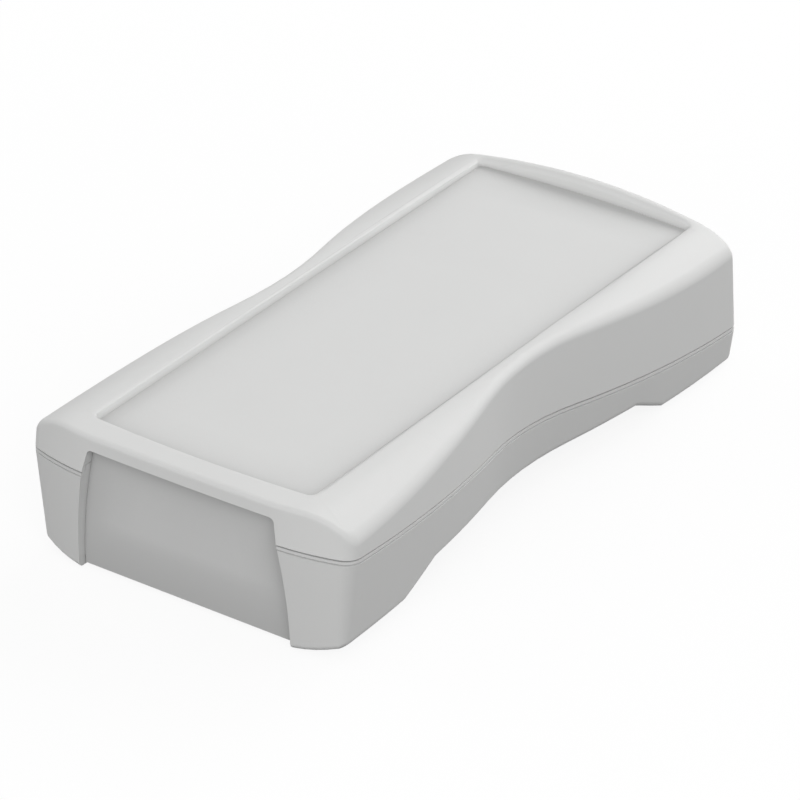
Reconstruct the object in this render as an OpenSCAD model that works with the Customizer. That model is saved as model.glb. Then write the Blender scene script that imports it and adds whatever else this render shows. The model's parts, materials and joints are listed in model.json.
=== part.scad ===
// Handheld enclosure: two waisted moulded shells that part on a sloping plane,
// a flat end panel held between them, and four screws driven from below.
// Origin under the middle of the case, +Z up, front panel towards -Y. Millimetres.

/* [Outline] */
// Length between the crests of the two end curves
body_l = 196.4; // [182:0.2:215]
// Width across the near end at the parting line
near_w = 101.6; // [96:0.2:110]
// Width across the waist at the parting line
waist_w = 80.8; // [78:0.2:88]
// Width across the far end at the parting line
far_w = 97.2; // [92:0.2:106]
// Radius of the hollow of the waist
waist_r = 93; // [60:1:130]
// Distance of the narrowest place beyond the middle
waist_y = 1.4; // [-5:0.1:8]
// Distance from the near crest to the widest place of the near end
near_swell = 2.6; // [1:0.1:10]
// Distance from the far crest to the widest place of the far end
far_swell = 18.8; // [12:0.1:28]
// Half width of the nearly flat middle of the near end
near_flat = 28; // [26:0.5:32]
// Bow of the middle of the near end
near_bow = 0.3; // [0.2:0.05:0.6]
// Radius in plan of the near end beyond its middle
near_end_r = 62; // [45:1:120]
// Radius of the far end in plan
far_end_r = 300; // [150:1:400]
// Radius of the near upright corners
near_corner_r = 5; // [4.8:0.1:8]
// Radius of the far upright corners
far_corner_r = 4.5; // [4:0.1:8]

/* [Heights] */
// Height from the feet to the rim of the keypad recess
body_h = 41.1; // [39:0.1:48]
// Height of the upper shell at the near crest
upper_near_h = 11.3; // [11.2:0.1:16]
// Height of the lower shell at the far crest
lower_far_h = 10.5; // [10:0.1:16]
// Lean of the upper long sides from upright, degrees
upper_draft = 2; // [0.5:0.1:2.5]
// Lean of the upper near end from upright, degrees
upper_near_draft = 9; // [5:0.1:10]
// Lean of the upper far end from upright, degrees
upper_far_draft = 6.5; // [3:0.1:8]
// Lean of the lower long sides from upright, degrees
lower_draft = 6.2; // [3:0.1:7]
// Lean of the lower ends from upright, degrees
lower_end_draft = 2.1; // [1:0.1:4]

/* [Edges] */
// Rounding of the top edge along the sides
side_edge_r = 2.3; // [1.5:0.1:3.2]
// Rounding of the top edge at the near end
near_edge_r = 1.4; // [1:0.1:2.4]
// Rounding of the top edge at the far end
far_edge_r = 2; // [1.5:0.1:2.4]
// Distance over which the shoulders fall, in from the widest place of the near end
shoulder_run = 13.8; // [9:0.1:14.2]
// Radius of the shoulders where they start to fall
shoulder_r = 16.5; // [15:0.5:40]
// Distance from the near crest at which the top starts to fall
near_fall_l = 10; // [7:0.1:14]
// Radius of the fall of the top towards the near end
near_fall_r = 60; // [40:1:120]
// Crown of the top at the far crest
far_crown = 1.8; // [0:0.1:2]
// Half width over which the far crown stands above the rim
crown_x = 31; // [28:0.5:36]
// Rounding of the base edge
base_edge_r = 1.6; // [0.8:0.1:2.6]

/* [Base] */
// Lift of the belly between the feet
belly_lift = 5.5; // [2:0.1:7]
// Length of the near foot from the near crest
near_foot_l = 33.6; // [28:0.1:42]
// Length of the far foot from the far crest
far_foot_l = 39.3; // [30:0.1:46]
// Length of the ramp between the near foot and the belly
near_ramp_l = 15; // [6:0.5:20]
// Length of the ramp between the far foot and the belly
far_ramp_l = 12; // [6:0.5:20]
// Half width of the flat of the base
keel_x = 30; // [26:0.5:32]
// Rise of the base at the outer edge of the near end
near_bilge = 3.6; // [0:0.1:4.5]
// Rise of the base at the outer edge of the far end
far_bilge = 0.5; // [0:0.1:4]

/* [Keypad recess] */
// Width of the recess
recess_w = 69.2; // [64:0.1:70]
// Distance from the near crest to the near corners of the recess
recess_near_set = 10.7; // [10:0.1:20]
// Distance from the far crest to the far corners of the recess
recess_far_set = 9.2; // [8.5:0.1:20]
// Depth of the recess
recess_d = 2.5; // [2:0.1:3]
// Arch of the near edge of the recess
recess_near_arch = 1.15; // [0.4:0.05:1.5]
// Arch of the far edge of the recess
recess_far_arch = 1.5; // [0.4:0.05:1.8]
// Corner radius at the near edge of the recess
recess_near_r = 2.2; // [1.2:0.1:6]
// Corner radius at the far edge of the recess
recess_far_r = 1.5; // [1.2:0.1:6]
// Rounding of the upper edge of the recess
recess_edge_r = 1.5; // [0.5:0.1:1.7]
// Lean of the recess walls from upright, degrees
recess_lean = 4; // [1:0.5:20]

/* [Walls] */
// Wall thickness
wall = 2.6; // [2.4:0.1:3]
// Floor and ceiling thickness
plate_t = 2.5; // [2:0.1:3]
// Height of the joint band, between the two shadow lines round the case
band_h = 1.2; // [0.8:0.1:1.6]
// Half height of each shadow line
line_h = 0.25; // [0.15:0.05:0.35]
// Depth of each shadow line
line_d = 0.5; // [0.3:0.05:0.8]
// Thickness of the lower shell's locating tongue
tongue_t = 1.1; // [0.8:0.1:1.3]
// Height of the locating tongue
tongue_h = 2; // [1:0.1:2.5]
// Rounding of the inner corners
inner_r = 2; // [1:0.1:2.6]
// Growth of the upright corner radii on the inside
inner_ease = 2.5; // [2:0.1:4]
// Clearance round the tongue and the panel
fit = 0.1; // [0.05:0.05:0.2]

/* [Front panel] */
// Thickness of the front panel
panel_t = 2; // [1.5:0.1:2.4]
// Distance from the near crest to the panel's outer face
panel_set = 4.3; // [3.9:0.1:4.7]
// Half width of the front opening at the base
mouth_half = 33.7; // [28:0.1:35]
// Half width of the front opening at its top
mouth_top_half = 29.2; // [22:0.1:31]
// Depth of the front apron above the opening
apron_h = 3.9; // [3.6:0.05:5]
// Corner radius at the top of the opening
mouth_r = 1.5; // [1:0.1:4]
// Height of the panel's lower edge above the feet
panel_rise = 0.8; // [0.3:0.1:2]
// Overlap of the panel behind the edges of the opening
panel_lap = 1.6; // [1:0.1:2]
// Width of the ribs behind the panel
guide_w = 4; // [3:0.1:6]
// Thickness of the ribs behind the panel
guide_t = 2; // [1.5:0.1:3]

/* [Fastening] */
// Distance of the near screws from the middle
near_screw_x = 38; // [36:0.5:39]
// Distance of the near screws from the near crest
near_screw_y = 18.6; // [17.2:0.1:24]
// Distance of the far screws from the middle
far_screw_x = 36; // [32:0.5:37]
// Distance of the far screws from the far crest
far_screw_y = 17.3; // [16.3:0.1:26]
// Diameter of the screw shank
screw_d = 2.8; // [2.2:0.1:3.2]
// Length of the screw under its head
screw_l = 14; // [12:0.5:15]
// Diameter of the screw head
screw_head_d = 6; // [5:0.1:6.4]
// Height of the screw head
screw_head_h = 2.2; // [1.5:0.1:2.6]
// Width of the cross slot in the screw head
drive_w = 0.9; // [0.6:0.1:1.2]
// Thickness of lower boss under the parting plane
clamp_l = 8; // [7:0.1:8.5]
// Radial clearance of the screw shank
screw_play = 0.3; // [0.1:0.05:0.5]
// Wall round the screw holes
boss_wall = 1.6; // [1.2:0.1:2]

/* [Board bosses] */
// Distance between the board bosses across the case
board_x = 56; // [40:0.5:60]
// Distance between the board bosses along the case
board_y = 124; // [60:0.5:128]
// Length of the board bosses
board_boss_l = 5; // [3:0.5:6]
// Diameter of the board bosses
board_boss_d = 6; // [5:0.1:8]
// Diameter of the pilot holes
board_hole_d = 2.2; // [1.6:0.1:3]

/* [Hidden] */
$fn = 32;
shell_grey = [0.87, 0.87, 0.86];
screw_grey = [0.62, 0.63, 0.65];
cut = 1;

// Places along the length
near_y = -body_l / 2;
far_y = body_l / 2;
near_swell_y = near_y + near_swell;
far_swell_y = far_y - far_swell;
near_foot_y = near_y + near_foot_l;
far_foot_y = far_y - far_foot_l;
panel_y = near_y + panel_set;
recess_near_y = near_y + recess_near_set;
recess_far_y = far_y - recess_far_set;
recess_y = (recess_near_y + recess_far_y) / 2;
mouth_z = body_h - apron_h;
ceiling_z = body_h - recess_d - plate_t;
tongue_in = wall - tongue_t;
part_near_z = body_h - upper_near_h;
part_far_z = lower_far_h;
edge_break = 0.3;

// Outline: the sides are a hollow arc between two tangent swelling arcs
near_half = near_w / 2;
waist_half = waist_w / 2;
far_half = far_w / 2;
shoulder_x = near_half - shoulder_run;
function swell_r(half, run) =
    let (offset = waist_half + waist_r - half)
    (offset^2 + run^2 - waist_r^2) / (2 * (half - waist_half));
near_r = swell_r(near_half, waist_y - near_swell_y);
far_r = swell_r(far_half, far_swell_y - waist_y);
waist_c = [waist_half + waist_r, waist_y];
near_c = [near_half - near_r, near_swell_y];
far_c = [far_half - far_r, far_swell_y];
function bow(x) =
    let (a = atan(2 * near_bow * x / near_flat^2))
    [[x, near_y + near_bow * (x / near_flat)^2], [sin(a), -cos(a)]];
near_end_c = bow(near_flat)[0] - near_end_r * bow(near_flat)[1];
far_end_c = [0, far_y - far_end_r];

// Where circles a and b cross, on the left of the way from a to b
function crossing(a, ra, b, rb) =
    let (
        d = norm(b - a),
        along = (d^2 + ra^2 - rb^2) / (2 * d),
        up = sqrt(ra^2 - along^2),
        u = (b - a) / d
    )
    a + along * u + up * [-u[1], u[0]];
function bearing(a, b) = atan2(b[1] - a[1], b[0] - a[0]);
function on_arc(c, r, a) = c + r * [cos(a), sin(a)];

function near_corner_c(r) = crossing(near_end_c, near_end_r - r, near_c, near_r - r);
function far_corner_c(r) = crossing(far_c, far_r - r, far_end_c, far_end_r - r);
near_start_a = bearing(near_end_c, bow(near_flat)[0]);
near_join_y = near_c[1] + (waist_c[1] - near_c[1]) * near_r / (near_r + waist_r);
far_join_y = far_c[1] + (waist_c[1] - far_c[1]) * far_r / (far_r + waist_r);
inner_near_r = near_corner_r + inner_ease;
inner_far_r = far_corner_r + inner_ease;
side_from_y = on_arc(near_c, near_r, bearing(near_c, near_corner_c(inner_near_r)))[1];
side_to_y = on_arc(far_c, far_r, bearing(far_c, far_corner_c(inner_far_r)))[1];

// Side of the outline at a place along the length: [point, outward normal]
function arc_side(c, r, y) =
    let (n = [sqrt(r^2 - (y - c[1])^2), y - c[1]] / r) [c + r * n, n];
function hollow_side(y) =
    let (n = [sqrt(waist_r^2 - (y - waist_y)^2), waist_y - y] / waist_r)
    [waist_c - waist_r * [n[0], n[1]], n];
function side(y) =
    y < near_join_y ? arc_side(near_c, near_r, y)
    : y < far_join_y ? hollow_side(y)
    : arc_side(far_c, far_r, y);
function arc_run(c, r, a, b, steps, crowd = 1) =
    [for (k = [0:steps]) let (t = a + (b - a) * (k / steps)^crowd) [on_arc(c, r, t), [cos(t), sin(t)]]];
function spaced(a, b, steps) = [for (k = [1:steps]) a + (b - a) * k / steps];
function but_last(v) = [for (k = [0:len(v) - 2]) v[k]];

flat_steps = 4;
near_steps = 6;
far_steps = 10;
far_crowd = 1.6;
corner_steps = 6;
side_ys = but_last(concat(
    spaced(side_from_y, near_foot_y, 5),
    spaced(near_foot_y, near_foot_y + near_ramp_l, 3),
    spaced(near_foot_y + near_ramp_l, far_foot_y - far_ramp_l, 15),
    spaced(far_foot_y - far_ramp_l, far_foot_y, 3),
    spaced(far_foot_y, side_to_y, 4)
));

// Right half of the outline from the near crest to the far crest
function outline(near_round, far_round) =
    let (
        near_at = near_corner_c(near_round),
        far_at = far_corner_c(far_round),
        near_end_a = bearing(near_end_c, near_at),
        far_end_a = bearing(far_end_c, far_at)
    )
    concat(
        [for (k = [0:flat_steps - 1]) bow(near_flat * k / flat_steps)],
        but_last(arc_run(near_end_c, near_end_r, near_start_a, near_end_a, near_steps)),
        arc_run(near_at, near_round, near_end_a, bearing(near_c, near_at), corner_steps),
        [for (y = side_ys) side(y)],
        but_last(arc_run(far_at, far_round, bearing(far_c, far_at), far_end_a, corner_steps)),
        arc_run(far_end_c, far_end_r, far_end_a, 90, far_steps, far_crowd)
    );
half_outline = outline(near_corner_r, far_corner_r);
inner_outline = outline(inner_near_r, inner_far_r);
edge_outline = outline(near_corner_r, inner_far_r);
half_n = len(half_outline);
ring_n = 2 * half_n - 2;

// Keypad recess: right half of its wall, point for point beside the outline: [point, outward normal]
recess_half = recess_w / 2;
function recess_end(p, y, way, arch, r) =
    let (
        c = [recess_half - r, y - way * r],
        arch_r = (c[0]^2 + arch^2) / (2 * arch),
        a = asin(min(1, p[0] / arch_r)),
        n = p[0] > c[0] ? (p - c) / norm(p - c) : [sin(a), way * cos(a)]
    )
    [p[0] > c[0] ? c + r * n : [p[0], y + way * (arch - arch_r + arch_r * cos(a))], n];
function recess_beside(p) =
    p[1] < recess_near_y + recess_near_r
        ? recess_end(p, recess_near_y, -1, recess_near_arch, recess_near_r)
    : p[1] > recess_far_y - recess_far_r
        ? recess_end(p, recess_far_y, 1, recess_far_arch, recess_far_r)
    : [[recess_half, p[1]], [1, 0]];
half_recess = [for (way = edge_outline) recess_beside(way[0])];

// Surfaces: parting plane, crowned top, and base with its feet, belly and bilges
function part_z(y) = part_near_z + (part_far_z - part_near_z) * (y - near_y) / body_l;
function fall(run, r) = max(0, run)^2 / (2 * r);
function top_z(p) =
    let (along = max(0, (p[1] - waist_y) / (far_y - waist_y)))
    body_h - fall(abs(p[0]) - shoulder_x, shoulder_r) - fall(near_y + near_fall_l - p[1], near_fall_r)
        + far_crown * along^2 * (1 - (p[0] / crown_x)^2);
function ramp(y, a, b) = min(1, max(0, (y - a) / (b - a)));
function belly_z(y) =
    belly_lift * (ramp(y, near_foot_y, near_foot_y + near_ramp_l)
        - ramp(y, far_foot_y - far_ramp_l, far_foot_y));
function bilge_z(p) =
    let (
        t = (p[1] - near_y) / body_l,
        rise = near_bilge + (far_bilge - near_bilge) * t,
        half = near_half + (far_half - near_half) * t - wall
    )
    rise * (max(0, abs(p[0]) - keel_x) / (half - keel_x))^2;
function base_z(p) = belly_z(p[1]) + bilge_z(p);

// A ring of the skin is made from its right half and the mirror of that half
function ring(half) =
    concat(half, [for (k = [half_n - 2:-1:1]) [-half[k][0], half[k][1], half[k][2]]]);
function inset(way, d) = way[0] - d * way[1];
function leaned(way, d, h, side_a, end_a) =
    inset(way, d) - h * [tan(side_a) * way[1][0], tan(end_a) * way[1][1]];
function joint_ring(line, d, lift) =
    ring([for (way = line) let (p = inset(way, d)) [p[0], p[1], part_z(p[1]) + lift]]);
function part_ring(d, lift) = joint_ring(half_outline, d, lift);
function tongue_ring(d, lift) = joint_ring(inner_outline, d, lift);

// Upper skin: leaning sides, a rounded edge between two outlines, then the rim up to the recess
function edge_r(k) =
    let (n = half_outline[k][1], end_r = n[1] < 0 ? near_edge_r : far_edge_r)
    side_edge_r + (end_r - side_edge_r) * n[1]^2;
function upper_inset(way, d, z) =
    leaned(way, d, max(0, z - part_z(way[0][1])), upper_draft,
        way[1][1] < 0 ? upper_near_draft : upper_far_draft);
function edge_low_z(k) = top_z(half_outline[k][0]) - edge_r(k);
function edge_from(k) = upper_inset(half_outline[k], 0, edge_low_z(k));
function edge_to(k) = upper_inset(edge_outline[k], edge_r(k), edge_low_z(k));
function edge_point(k, share) = edge_from(k) * (1 - share) + edge_to(k) * share;
function recess_point(k, out) = half_recess[k][0] + out * half_recess[k][1];
function recess_edge(k) = recess_point(k, recess_edge_r);
function edge_ring(a) = ring([for (k = [0:half_n - 1])
    let (p = edge_point(k, 1 - cos(a)))
    [p[0], p[1], top_z(p) - edge_r(k) * (1 - sin(a))]]);
function rim_ring(t) = ring([for (k = [0:half_n - 1])
    let (p = edge_to(k) * (1 - t) + recess_edge(k) * t) [p[0], p[1], top_z(p)]]);
function recess_ring(a) = ring([for (k = [0:half_n - 1])
    let (p = recess_point(k, recess_edge_r * (1 - sin(a))))
    [p[0], p[1], top_z(recess_edge(k)) - recess_edge_r * (1 - cos(a))]]);
recess_run = tan(recess_lean) * (recess_d - recess_edge_r);
function recess_floor_ring() = ring([for (k = [0:half_n - 1])
    let (p = recess_point(k, -recess_run)) [p[0], p[1], body_h - recess_d]]);
function ceiling_ring(a) = ring([for (way = inner_outline)
    let (
        z = ceiling_z - inner_r * (1 - sin(a)),
        p = upper_inset(way, wall + inner_r * (1 - cos(a)), z)
    )
    [p[0], p[1], z]]);

// Lower skin: both faces lean in with the draft of the side they belong to
function lower_point(way, d) =
    leaned(way, d, part_z(way[0][1]) - base_z(inset(way, wall)), lower_draft, lower_end_draft);
function base_ring(a) = ring([for (way = half_outline)
    let (p = lower_point(way, base_edge_r * (1 - cos(a))))
    [p[0], p[1], base_z(p) + base_edge_r * (1 - sin(a))]]);
end_share = 0.02;
function drawn_in(q, f) = [q[0] * f, q[1] * (1 - end_share * (1 - f))];
function keel_ring(f) = ring([for (way = half_outline)
    let (p = drawn_in(lower_point(way, base_edge_r), f)) [p[0], p[1], base_z(p)]]);
function floor_ring(d, lift) = ring([for (way = inner_outline)
    let (p = lower_point(way, wall + d)) [p[0], p[1], base_z(p) + plate_t + lift]]);
function floor_keel_ring(f) = ring([for (way = inner_outline)
    let (p = drawn_in(lower_point(way, wall + edge_break), f)) [p[0], p[1], base_z(p) + plate_t]]);

// Closed skin through a list of rings; each end is closed across the mirror line
module skin(rings) {
    last = len(rings) - 1;
    function at(r, k) = r * ring_n + (k + ring_n) % ring_n;
    walls = [for (r = [0:last - 1], k = [0:ring_n - 1], f = [0, 1])
        f == 0 ? [at(r, k), at(r + 1, k), at(r, k + 1)]
        : [at(r, k + 1), at(r + 1, k), at(r + 1, k + 1)]];
    first_end = [for (k = [0:half_n - 2], f = [0, 1])
        f == 0 ? (k == 0 ? [] : [at(0, k), at(0, k + 1), at(0, -k)])
        : (k == half_n - 2 ? [] : [at(0, k + 1), at(0, -k - 1), at(0, -k)])];
    last_end = [for (k = [0:half_n - 2], f = [0, 1])
        f == 0 ? (k == 0 ? [] : [at(last, k + 1), at(last, k), at(last, -k)])
        : (k == half_n - 2 ? [] : [at(last, -k - 1), at(last, k + 1), at(last, -k)])];
    faces = [for (f = concat(walls, first_end, last_end)) if (len(f) == 3) f];
    polyhedron([for (r = rings) each r], faces);
}

// Front opening: arched sides, flat top with rounded corners; drawn in X and Z
mouth_steps = 8;
mouth_arc_r = (mouth_z^2 + (mouth_half - mouth_top_half)^2) / (2 * (mouth_half - mouth_top_half));
function mouth_edge(grow, low, top, r) =
    let (
        big = mouth_arc_r + grow,
        c = [mouth_half - mouth_arc_r, 0],
        corner = [c[0] + sqrt((big - r)^2 - (top - r)^2), top - r],
        a0 = asin(low / big),
        a1 = bearing(c, corner)
    )
    concat(
        [for (k = [0:mouth_steps]) on_arc(c, big, a0 + (a1 - a0) * k / mouth_steps)],
        [for (k = [1:corner_steps]) on_arc(corner, r, a1 + (90 - a1) * k / corner_steps)]
    );
module mirrored_profile(edge) {
    n = len(edge);
    polygon(concat(edge, [for (k = [n - 1:-1:0]) [-edge[k][0], edge[k][1]]]));
}
module upright(y, depth) {
    translate([0, y + depth, 0]) rotate([90, 0, 0]) linear_extrude(depth) children();
}
panel_back_y = panel_y + panel_t;
panel_half = mouth_half + panel_lap;
flange_z = base_z([panel_half, panel_y]) + plate_t + fit;
panel_top_z = mouth_z + apron_h / 4;

module front_opening() {
    upright(near_y - cut, panel_back_y + fit - near_y + cut)
        mirrored_profile(mouth_edge(0, -cut, mouth_z, mouth_r));
}
module panel_blank(grow) {
    upright(panel_y - grow, panel_t + 2 * grow) {
        mirrored_profile(mouth_edge(panel_lap + grow, flange_z - grow, panel_top_z + grow, mouth_r));
        mirrored_profile(mouth_edge(grow - 2 * fit, panel_rise - grow, mouth_z, mouth_r));
    }
}

// Fastening: four places, near pair first
near_places = [for (s = [-1, 1]) [s * near_screw_x, near_y + near_screw_y]];
far_places = [for (s = [-1, 1]) [s * far_screw_x, far_y - far_screw_y]];
places = concat(near_places, far_places);
function joint_z(p) = part_z(p[1]) + band_h / 2;
function seat_z(p) = joint_z(p) - clamp_l;
head_play = 0.3;
sink_d = screw_head_d + 2 * head_play;
tip_play = 1;

module lower_boss(p) {
    low = base_z(p) + plate_t / 2;
    translate([p[0], p[1], low]) cylinder(d = sink_d + 2 * boss_wall, h = joint_z(p) - low);
}
module screw_way(p) {
    translate([p[0], p[1], -cut]) cylinder(d = sink_d, h = seat_z(p) + cut);
    translate([p[0], p[1], 0]) cylinder(d = screw_d + 2 * screw_play, h = joint_z(p) + cut);
}
module upper_boss(p) {
    translate([p[0], p[1], joint_z(p)])
        cylinder(d = screw_d + 2 * screw_play + 2 * boss_wall, h = ceiling_z + plate_t / 2 - joint_z(p));
}
module pilot(p) {
    translate([p[0], p[1], joint_z(p) - cut])
        cylinder(d = screw_d + fit, h = screw_l - clamp_l + tip_play + cut);
}

board_places = [for (sx = [-1, 1], sy = [-1, 1]) [sx * board_x / 2, recess_y + sy * board_y / 2]];
module board_boss(p) {
    translate([p[0], p[1], ceiling_z - board_boss_l])
        cylinder(d = board_boss_d, h = board_boss_l + plate_t / 2);
}
module board_pilot(p) {
    translate([p[0], p[1], ceiling_z - board_boss_l - cut])
        cylinder(d = board_hole_d, h = board_boss_l + cut);
}

// Jambs before the panel, from the front walls of both shells to the panel
jamb_low_z = base_z([panel_half, panel_y]) + plate_t / 2;
lower_jamb_z = part_z(panel_y) + band_h / 2 + tongue_h;
upper_jamb_z = part_z(near_y + wall) + band_h / 2 + tongue_h + fit;
module panel_jambs(low, top) {
    size = [panel_half + panel_lap - mouth_top_half, top - low];
    for (m = [0, 1]) mirror([m, 0, 0])
        upright(near_y + wall, panel_set - wall - fit) translate([mouth_top_half, low]) square(size);
}

// Ribs behind the panel, from its flange to the side walls of the lower shell
guide_y = panel_back_y + fit;
guide_side_x = side(guide_y)[0][0] - wall / 2;
guide_z = part_z(guide_y + guide_t) - band_h / 2;
module panel_guides() {
    low = base_z([guide_side_x, guide_y]) + plate_t / 2;
    lean_in = tan(lower_draft) * (guide_z - low);
    for (m = [0, 1]) mirror([m, 0, 0]) upright(guide_y, guide_t)
        polygon([[panel_half - guide_w, low], [guide_side_x - lean_in, low],
            [guide_side_x, guide_z], [panel_half - guide_w, guide_z]]);
}

upper_rings = concat(
    [for (a = [90, 45, 0]) ceiling_ring(a)],
    [tongue_ring(wall, band_h / 2 + tongue_h + fit)],
    [for (lift = [tongue_h + fit, 0]) tongue_ring(tongue_in - fit, band_h / 2 + lift)],
    [part_ring(line_d, band_h / 2), part_ring(0, band_h / 2 + line_h)],
    [for (a = [0:18:90]) edge_ring(a)],
    [for (t = [0.25:0.25:1]) rim_ring(t)],
    [for (a = [30:30:90]) recess_ring(a)],
    [recess_floor_ring()]
);
lower_rings = concat(
    [for (f = [0.64:0.12:0.9]) keel_ring(f)],
    [for (a = [90:-30:0]) base_ring(a)],
    [part_ring(0, -band_h / 2 - line_h), part_ring(line_d, -band_h / 2)],
    [for (lift = [-1, 1]) part_ring(0, lift * (band_h / 2 - line_h))],
    [part_ring(line_d, band_h / 2)],
    [for (lift = [0, tongue_h]) tongue_ring(tongue_in, band_h / 2 + lift)],
    [tongue_ring(wall, band_h / 2 + tongue_h)],
    [floor_ring(0, inner_r), floor_ring(edge_break, 0)],
    [for (f = [0.85, 0.68]) floor_keel_ring(f)]
);

module upper_shell() {
    color(shell_grey) difference() {
        union() {
            skin(upper_rings);
            for (p = places) upper_boss(p);
            for (p = board_places) board_boss(p);
            panel_jambs(upper_jamb_z, ceiling_z + plate_t / 2);
        }
        front_opening();
        panel_blank(fit);
        for (p = places) pilot(p);
        for (p = board_places) board_pilot(p);
    }
}

module lower_shell() {
    color(shell_grey) difference() {
        union() {
            skin(lower_rings);
            for (p = places) lower_boss(p);
            panel_jambs(jamb_low_z, lower_jamb_z);
            panel_guides();
        }
        front_opening();
        panel_blank(fit);
        for (p = places) screw_way(p);
    }
}

module front_panel() {
    color(shell_grey) panel_blank(0);
}

module case_screw(p) {
    slot_h = screw_head_h / 2;
    color(screw_grey) translate([p[0], p[1], seat_z(p)]) difference() {
        union() {
            translate([0, 0, -screw_head_h]) cylinder(d = screw_head_d, h = screw_head_h);
            cylinder(d = screw_d, h = screw_l);
        }
        for (a = [0, 90]) rotate(a)
            translate([-screw_head_d / 4, -drive_w / 2, -screw_head_h - cut])
                cube([screw_head_d / 2, drive_w, slot_h + cut]);
    }
}

upper_shell();
lower_shell();
front_panel();
for (k = [0:3]) case_screw(places[k]);
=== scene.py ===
"""Handheld enclosure: dresses the CAD nodes with moulded plastic and steel, and sets the studio."""
import json
import math
import bmesh
import bpy
from mathutils import Matrix, Vector
from mathutils.geometry import intersect_point_line


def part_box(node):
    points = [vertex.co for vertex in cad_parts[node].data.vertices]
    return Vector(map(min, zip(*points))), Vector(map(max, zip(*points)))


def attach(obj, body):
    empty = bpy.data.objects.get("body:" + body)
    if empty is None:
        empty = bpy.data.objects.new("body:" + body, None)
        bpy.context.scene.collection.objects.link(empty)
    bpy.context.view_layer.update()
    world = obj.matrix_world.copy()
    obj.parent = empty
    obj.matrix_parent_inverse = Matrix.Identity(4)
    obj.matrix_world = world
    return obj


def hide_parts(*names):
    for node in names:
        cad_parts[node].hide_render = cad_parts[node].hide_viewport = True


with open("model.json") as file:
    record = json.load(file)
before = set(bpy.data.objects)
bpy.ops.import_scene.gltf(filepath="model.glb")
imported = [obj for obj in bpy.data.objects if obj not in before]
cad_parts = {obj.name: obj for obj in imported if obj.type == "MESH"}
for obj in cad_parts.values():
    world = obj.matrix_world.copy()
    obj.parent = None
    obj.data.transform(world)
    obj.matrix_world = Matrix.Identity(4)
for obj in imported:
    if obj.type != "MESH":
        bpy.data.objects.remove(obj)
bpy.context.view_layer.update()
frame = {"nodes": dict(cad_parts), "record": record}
MM = 0.001

# Keypad recess in the top of the upper shell: its floor, its leaning wall and its rounded edge
mounts = {mount["name"]: mount for mount in frame["record"]["mounts"]}
keypad_centre = Vector(mounts["keypad_recess"]["pos_m"])
keypad_reach = Vector((34.7, 91, 0.1)) * MM
level_normal_z = 0.999
level_slack = 0.01 * MM
recess_depth = 2.5 * MM
recess_lean = math.radians(4)
recess_edge_low_z = keypad_centre.z + 0.6 * MM
recess_soft_r = 1.5 * MM
recess_tight_r = 0.65 * MM
recess_ease_from_y = 84 * MM
recess_ease_to_y = 88 * MM

# Front end of the upper shell: where its rim starts to fall, the apron's face and the opening below
rim_fall_l = 10 * MM
rim_fall_r = 60 * MM
rim_fall_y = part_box("upper_shell")[0][1] + rim_fall_l
apron_low_z = 35.5 * MM
apron_full_z = 37 * MM
opening_half_w = 32 * MM
opening_top_z = 38.5 * MM

# Skins: how a copy of a CAD node is merged, bevelled and shaded
merge_distance = 0.002 * MM
flat_angle = math.radians(0.3)
bevel_angle = math.radians(32)
shade_angle = math.radians(30)
screw_bevel = 0.12 * MM

# Finishes: colours, the scale and depth of the moulded grain, and how near a face has to be for painted shade
# to darken another
shell_grey = (0.66, 0.662, 0.656)
panel_grey = (0.62, 0.622, 0.618)
screw_grey = (0.6, 0.61, 0.62)
shell_grain = 2600.0
shell_grain_depth = 0.03 * MM
panel_grain = 3200.0
panel_grain_depth = 0.025 * MM
hollow_shade_reach = 16 * MM
crease_shade_reach = 1.5 * MM

# Studio: each lamp's name, direction and power
white = (1, 1, 1, 1)
world_strength = 0.345
floor_half = 4.0
floor_z = -0.05 * MM
lamp_distance = 1.6
lamp_size = 1.1
lamps = (
    ("back", (0, 1, 0.6), 11.9),
    ("left", (-1, 0, 0.6), 3.9),
    ("front", (0, -1, 0.25), 7.1),
    ("front_right", (1, -1, 1.0), 10.3),
    ("back_right", (1, 1, 0.6), 6.6),
)

# Camera: its angles and distance, and how far its aim lies right of and above a point on the object
view_turn = math.radians(34.98)
view_lift = math.radians(29.995)
view_distance = 1272.6 * MM
view_point = Vector((0, -0.9, 41.1)) * MM
aim_right = 0.428 * MM
aim_up = -21.594 * MM
sensor_width = 36.0
lens_length = 216.47
view_limit = 20.0


class Wire:
    """A shader socket that can be written as arithmetic."""

    def __init__(self, tree, socket=None):
        self.tree = tree
        self.socket = socket

    def node(self, kind, inputs=None, out=0, **props):
        """Adds a node, sets or links its inputs, and returns one of its outputs."""
        new = self.tree.nodes.new(kind)
        for key, value in props.items():
            setattr(new, key, value)
        for key, value in (inputs or {}).items():
            if isinstance(value, Wire):
                self.tree.links.new(value.socket, new.inputs[key])
            else:
                new.inputs[key].default_value = value
        return Wire(self.tree, new.outputs[out])

    def maths(self, operation, a, b=0.0):
        return self.node("ShaderNodeMath", {0: a, 1: b}, operation=operation)

    def __add__(self, other):
        return self.maths("ADD", self, other)

    def __radd__(self, other):
        return self.maths("ADD", other, self)

    def __sub__(self, other):
        return self.maths("SUBTRACT", self, other)

    def __rsub__(self, other):
        return self.maths("SUBTRACT", other, self)

    def __mul__(self, other):
        return self.maths("MULTIPLY", self, other)

    def __rmul__(self, other):
        return self.maths("MULTIPLY", other, self)


def material(name):
    """A new material with only an output node, and a wire to build its tree with."""
    made = bpy.data.materials.new(name)
    made.use_nodes = True
    tree = made.node_tree
    tree.nodes.clear()
    return made, Wire(tree), tree.nodes.new("ShaderNodeOutputMaterial")


def noise(place, scale, detail, roughness=0.5):
    return place.node("ShaderNodeTexNoise", {
        "Vector": place, "Scale": scale, "Detail": detail, "Roughness": roughness})


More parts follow.
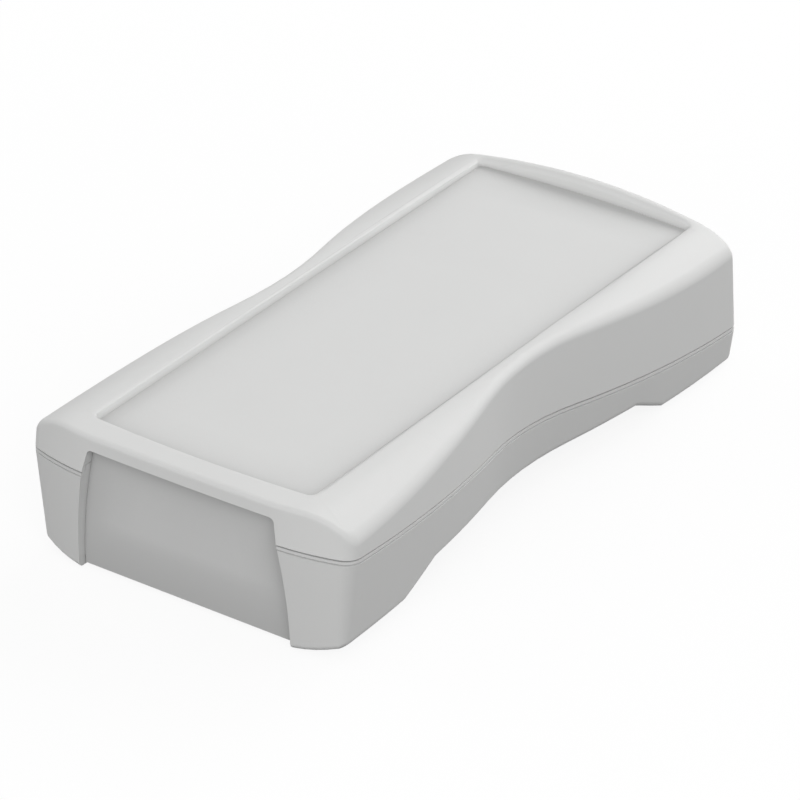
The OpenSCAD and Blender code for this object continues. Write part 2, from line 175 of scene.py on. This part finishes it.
def shut_in(w, reach, samples):
    """0 on an open face, rising towards 1 where other faces stand within reach of it."""
    return 1 - w.node("ShaderNodeAmbientOcclusion", {"Distance": reach}, out="AO", samples=samples)


def keypad_field(place):
    """1 on the floor of the keypad recess, 0 elsewhere."""
    def near(axis, middle, reach):
        offset = place.node("ShaderNodeSeparateXYZ", {0: place}, out=axis) - middle
        return place.maths("LESS_THAN", place.maths("ABSOLUTE", offset), reach)

    across, along, level = (near(*limits) for limits in zip("XYZ", keypad_centre, keypad_reach))
    return across * along * level


def moulded(name, colour, grain, depth, sunk):
    """Satin moulded plastic with a fine spark-eroded grain, and painted shade in its hollows and creases.

    sunk is 1 where the face's grain is smoother and painted shade darkens it towards its edges, and 0 where
    painted shade darkens only its creases.
    It is a number, or a function of the place.
    """
    made, w, output = material(name)
    place = w.node("ShaderNodeTexCoord", out="Object")
    sunk = sunk(place) if callable(sunk) else sunk
    # Painted shade: darkens a sunk face where other faces stand near it, most at its edges, and a little all
    # over
    painted_hollow_shade = 0.02 + 0.25 * w.maths("POWER", shut_in(w, hollow_shade_reach, samples=16), 0.4)
    # Painted shade: darkens the colour in creases, where other faces stand very near
    painted_crease_shade = 0.35 * shut_in(w, crease_shade_reach, samples=4)
    cloud = noise(place, scale=45.0, detail=3.0, roughness=0.6)
    fleck = noise(place, scale=grain, detail=2.0, roughness=0.55)
    pits = w.node("ShaderNodeTexVoronoi", {"Vector": place, "Scale": grain * 0.8}, feature="SMOOTH_F1")
    # The colour carries the painted shade of hollows and creases
    tone = (0.965 + 0.04 * cloud + 0.03 * fleck) * (1 - sunk * painted_hollow_shade - painted_crease_shade * (1 - sunk))
    tint = w.node("ShaderNodeVectorMath", {0: colour, "Scale": tone}, operation="SCALE")
    sheen = 0.47 + 0.1 * cloud + 0.08 * fleck
    relief = (fleck * 0.6 + pits * 0.5) * (1 - 0.5 * sunk)
    bump = w.node("ShaderNodeBump", {"Height": relief, "Strength": 0.35, "Distance": depth})
    shader = w.node("ShaderNodeBsdfPrincipled", {
        "Base Color": tint, "Roughness": sheen, "Normal": bump, "IOR": 1.5, "Specular IOR Level": 0.45})
    made.node_tree.links.new(shader.socket, output.inputs["Surface"])
    return made


def plated(name, colour):
    """Zinc-plated steel with fine turning marks."""
    made, w, output = material(name)
    place = w.node("ShaderNodeTexCoord", out="Object")
    cloud = noise(place, scale=900.0, detail=3.0, roughness=0.6)
    marks = noise(place, scale=6000.0, detail=2.0)
    tone = 0.88 + 0.16 * cloud + 0.06 * marks
    tint = w.node("ShaderNodeVectorMath", {0: colour, "Scale": tone}, operation="SCALE")
    bump = w.node("ShaderNodeBump", {"Height": marks, "Strength": 0.2, "Distance": 0.02 * MM})
    shader = w.node("ShaderNodeBsdfPrincipled", {
        "Base Color": tint, "Roughness": 0.24 + 0.16 * cloud, "Normal": bump, "Metallic": 1.0})
    made.node_tree.links.new(shader.socket, output.inputs["Surface"])
    return made


def clamped(share):
    return min(max(share, 0), 1)


def drop(out, round_r):
    """How far a rounded edge of radius round_r lies below its flat, at a distance out from its wall."""
    short = max(round_r - out, 0)
    return round_r - math.sqrt(max(round_r ** 2 - short ** 2, 0))


def distance_to(line, place):
    """Distance in plan from a place to the nearest side of a closed line."""
    nearest = math.inf
    for a, b in zip(line, line[1:] + line[:1]):
        foot, share = intersect_point_line(place, a, b)
        foot = a if share < 0 else b if share > 1 else foot
        nearest = min(nearest, (place - foot.to_2d()).length)
    return nearest


def keypad_outline(bm):
    """Outline in plan of the keypad recess's floor, the largest level face at its height."""
    level = [f for f in bm.faces if f.normal.z > level_normal_z]
    floors = [f for f in level if abs(f.calc_center_median().z - keypad_centre.z) < level_slack]
    return [v.co.to_2d() for v in max(floors, key=lambda f: f.calc_area()).verts]


def tighten_recess(bm):
    """Raises the rounded edge of the keypad recess to the crisper one of the photo, except at the far end."""
    line = keypad_outline(bm)
    wall_run = math.tan(recess_lean) * (recess_depth - recess_soft_r)
    for v in bm.verts:
        if v.co.z > recess_edge_low_z:
            out = distance_to(line, v.co.to_2d()) - wall_run
            if out < recess_soft_r:
                ease = clamped((recess_ease_to_y - v.co.y) / (recess_ease_to_y - recess_ease_from_y))
                v.co.z += ease * (drop(out, recess_soft_r) - drop(out, recess_tight_r))


def level_apron(bm):
    """Carries the rim level to the front edge, which gives the apron the taller face of the photo."""
    for v in bm.verts:
        run = max(rim_fall_y - v.co.y, 0)
        in_opening = abs(v.co.x) < opening_half_w and v.co.z < opening_top_z
        if not in_opening:
            share = clamped((v.co.z - apron_low_z) / (apron_full_z - apron_low_z))
            v.co.z += share * run ** 2 / (2 * rim_fall_r)


def dressed(node, finish, shapings=(), bevel=0):
    """A merged copy of a CAD node, reshaped or with its sharp edges bevelled, which stands for the node."""
    bm = bmesh.new()
    bm.from_mesh(frame["nodes"][node].data)
    bmesh.ops.remove_doubles(bm, verts=bm.verts, dist=merge_distance)
    bmesh.ops.dissolve_limit(bm, angle_limit=flat_angle, verts=bm.verts, edges=bm.edges)
    for shaping in shapings:
        shaping(bm)
    if bevel:
        edges = [e for e in bm.edges if len(e.link_faces) == 2 and e.calc_face_angle() > bevel_angle]
        bmesh.ops.bevel(bm, geom=edges, offset=bevel, offset_type="OFFSET", segments=2, profile=0.5,
                        affect="EDGES", clamp_overlap=True, material=-1)
    mesh = bpy.data.meshes.new(node + "_skin")
    bm.to_mesh(mesh)
    bm.free()
    if mesh.has_custom_normals:
        # The normals of the CAD mesh's loose triangles don't fit the merged faces
        mesh.attributes.remove(mesh.attributes["custom_normal"])
    mesh.shade_smooth()
    mesh.set_sharp_from_angle(angle=shade_angle)
    mesh.materials.append(finish)
    piece = bpy.data.objects.new(node + "_skin", mesh)
    bpy.context.scene.collection.objects.link(piece)
    weighted = piece.modifiers.new("weighted", "WEIGHTED_NORMAL")
    weighted.keep_sharp = True
    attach(piece, "root")
    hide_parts(node)


def shown(w):
    """1 for what the camera sees, straight, mirrored or through glass; 0 for what lights other things."""
    camera, mirrored, through = (w.node("ShaderNodeLightPath", out="Is %s Ray" % kind)
                                 for kind in ("Camera", "Glossy", "Transmission"))
    return w.maths("MINIMUM", camera + mirrored + through, 1.0)


def surroundings():
    """Soft light from all round, which looks white."""
    world = bpy.data.worlds.new("studio")
    bpy.context.scene.world = world
    world.use_nodes = True
    tree = world.node_tree
    tree.nodes.clear()
    w = Wire(tree)
    lit = w.node("ShaderNodeBackground", {"Color": white, "Strength": world_strength})
    seen = w.node("ShaderNodeBackground", {"Color": white, "Strength": 1.0})
    both = w.node("ShaderNodeMixShader", {0: shown(w), 1: lit, 2: seen})
    tree.links.new(both.socket, tree.nodes.new("ShaderNodeOutputWorld").inputs["Surface"])


def pale_floor():
    """Floor just below the feet, which keeps the object's shadow and turns pure white away from it."""
    made, w, output = material("floor_white")
    place = w.node("ShaderNodeTexCoord", out="Object")
    away = w.node("ShaderNodeVectorMath", {0: place}, out="Value", operation="LENGTH")
    matt = w.node("ShaderNodeBsdfDiffuse", {"Color": 0.12 + 0.83 * shown(w)})
    glow = w.node("ShaderNodeEmission", {"Color": white, "Strength": 1.0})
    glowing = w.maths("MINIMUM", 0.86 + 0.35 * away, 1.0) * shown(w)
    both = w.node("ShaderNodeMixShader", {0: glowing, 1: matt, 2: glow})
    made.node_tree.links.new(both.socket, output.inputs["Surface"])
    bm = bmesh.new()
    bmesh.ops.create_grid(bm, x_segments=1, y_segments=1, size=floor_half,
                          matrix=Matrix.Translation((0, 0, floor_z)))
    mesh = bpy.data.meshes.new("floor")
    bm.to_mesh(mesh)
    bm.free()
    mesh.materials.append(made)
    floor = bpy.data.objects.new("floor", mesh)
    bpy.context.scene.collection.objects.link(floor)


def soft_lamp(name, direction, power):
    """Round area lamp that faces the object's origin."""
    lamp = bpy.data.lights.new(name, "AREA")
    lamp.shape = "DISK"
    lamp.size = lamp_size
    lamp.energy = power
    held = bpy.data.objects.new(name, lamp)
    way = Vector(direction).normalized()
    facing = way.to_track_quat("Z", "Y").to_matrix().to_4x4()
    held.matrix_world = Matrix.Translation(way * lamp_distance) @ facing
    bpy.context.scene.collection.objects.link(held)


def photo_camera():
    """Camera at the photo's viewing angle, with the object where it lies in the photo's frame."""
    right = Vector((math.cos(view_turn), math.sin(view_turn), 0))
    back = Vector((math.sin(view_turn) * math.cos(view_lift),
                   -math.cos(view_turn) * math.cos(view_lift), math.sin(view_lift)))
    up = back.cross(right)
    lens = bpy.data.cameras.new("camera")
    lens.sensor_width = sensor_width
    lens.lens = lens_length
    lens.clip_end = view_limit
    camera = bpy.data.objects.new("camera", lens)
    pose = Matrix((right, up, back)).transposed().to_4x4()
    pose.translation = view_point + aim_right * right + aim_up * up + view_distance * back
    camera.matrix_world = pose
    bpy.context.scene.collection.objects.link(camera)
    bpy.context.scene.camera = camera


upper_plastic = moulded("shell_upper", shell_grey, shell_grain, shell_grain_depth, sunk=keypad_field)
lower_plastic = moulded("shell_lower", shell_grey, shell_grain, shell_grain_depth, sunk=0)
panel_plastic = moulded("shell_panel", panel_grey, panel_grain, panel_grain_depth, sunk=1)
steel = plated("screw_steel", screw_grey)
dressed("upper_shell", upper_plastic, shapings=(level_apron, tighten_recess))
dressed("lower_shell", lower_plastic)
dressed("front_panel", panel_plastic)
for k in (1, 2, 3, 4):
    dressed("case_screw_%d" % k, steel, bevel=screw_bevel)

bpy.context.scene.view_settings.view_transform = "Standard"
surroundings()
pale_floor()
for lamp in lamps:
    soft_lamp(*lamp)
photo_camera()
